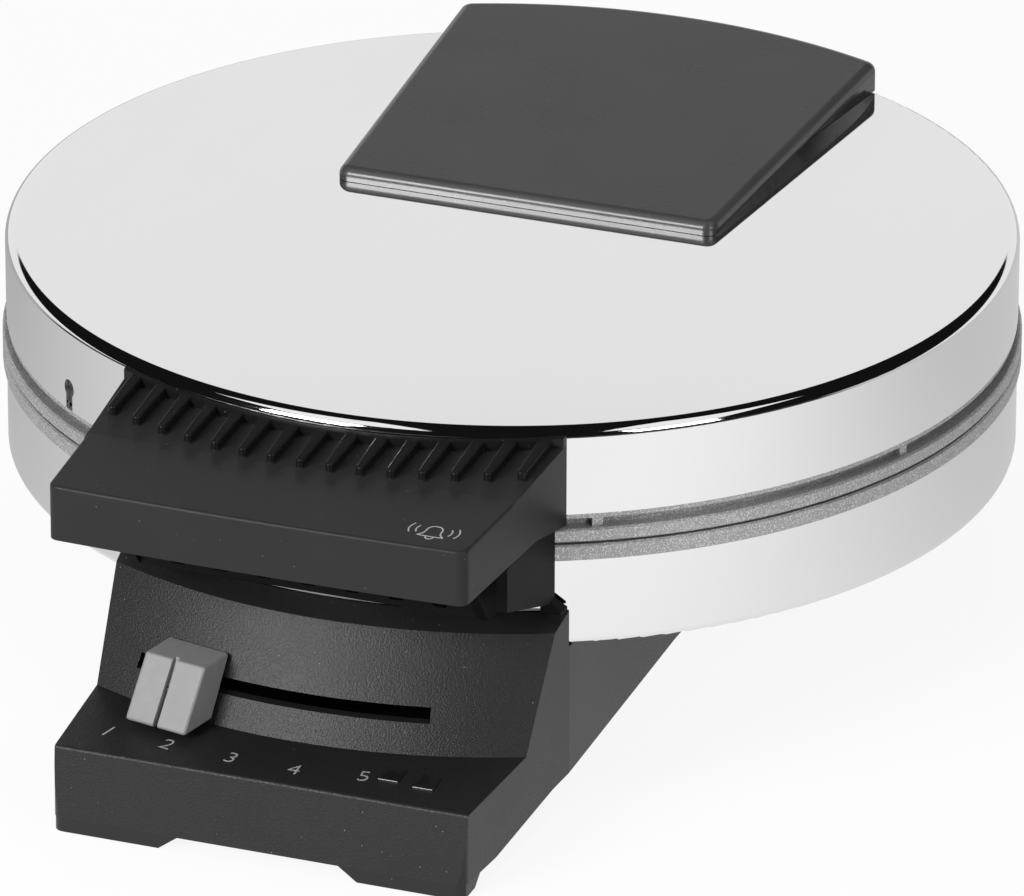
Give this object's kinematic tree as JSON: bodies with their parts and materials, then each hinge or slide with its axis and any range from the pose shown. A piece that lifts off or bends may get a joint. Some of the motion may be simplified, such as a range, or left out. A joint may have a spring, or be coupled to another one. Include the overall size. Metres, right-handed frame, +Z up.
{
  "type": "heart waffle maker",
  "caption": "Round electric waffle maker with a hinged polished lid, ribbed front grip, rear hinge cover, heart-shaped baking plates and a temperature slider.",
  "frame": {"origin": "bottom centre of the box round the closed part, on the table under it", "axes": "+Z up, -Y towards the grip and the user, +Y towards the hinge, +X to the user's right"},
  "size_m": [0.2322, 0.3032, 0.0978],
  "materials": {
    "polished_sheet": "mirror polished",
    "cast_plate": "dark sparkling non-stick coating",
    "black_plastic": "fine grain",
    "grey_plastic": "satin",
    "zinc_steel": "zinc plated",
    "bright_sheet": "bright",
    "element_sheath": "dark sheath",
    "black_paint": "satin",
    "brass_bush": "plain",
    "phenolic": "pale",
    "fuse_can": "plain",
    "board": "satin",
    "sounder_case": "plain",
    "lead_sleeve": "woven sleeve",
    "rubber": "plain",
    "lamp_red": "clear",
    "lamp_green": "clear",
    "lens": "smoked"
  },
  "bodies": {
    "base": {"base_housing": "black_plastic", "base_cover": "black_plastic", "base_screws": "zinc_steel", "front_feet": "black_plastic", "rear_feet": "rubber", "cord_gland": "black_plastic", "lower_shell": "polished_sheet", "lower_baking_plate": "cast_plate", "lower_heating_element": "element_sheath", "lower_element_clamps": "zinc_steel", "lower_clamp_screws": "zinc_steel", "lower_reflector": "bright_sheet", "lower_tie_bolts": "zinc_steel", "lower_leads": "lead_sleeve", "thermostat": "phenolic", "thermal_fuse": "fuse_can", "terminal_block": "phenolic", "control_board": "board", "signal_sounder": "sounder_case", "heating_lamp": "lamp_red", "heating_lamp_lens": "lens", "ready_lamp": "lamp_green", "ready_lamp_lens": "lens", "hinge_pin": "zinc_steel", "pin_clips": "zinc_steel"},
    "lid": {"upper_shell": "polished_sheet", "upper_baking_plate": "cast_plate", "upper_heating_element": "element_sheath", "upper_element_clamps": "zinc_steel", "upper_clamp_screws": "zinc_steel", "upper_reflector": "bright_sheet", "upper_tie_bolts": "zinc_steel", "upper_leads": "lead_sleeve", "hinge_arm": "black_paint", "hinge_bushes": "brass_bush", "rear_cover": "black_plastic", "cover_screws": "zinc_steel", "shell_clip": "zinc_steel", "grip": "black_plastic", "grip_base": "black_plastic", "grip_bracket": "zinc_steel", "bracket_bolts": "zinc_steel", "bracket_nuts": "zinc_steel", "grip_screws": "zinc_steel"},
    "slider": {"temperature_knob": "grey_plastic", "slider_lever": "zinc_steel", "thermostat_spindle": "zinc_steel"}
  },
  "joints": [
    {"name": "lid_hinge", "type": "hinge", "parent": "base", "child": "lid", "pos_m": [0, 0.1346, 0.0632], "axis": [-1, 0, 0], "range_deg": [0, 100]},
    {"name": "temperature_slide", "type": "hinge", "parent": "base", "child": "slider", "pos_m": [0, 0.0056, 0.0283], "axis": [0, 0, 1], "range_deg": [-5, 23.4]}
  ]
}
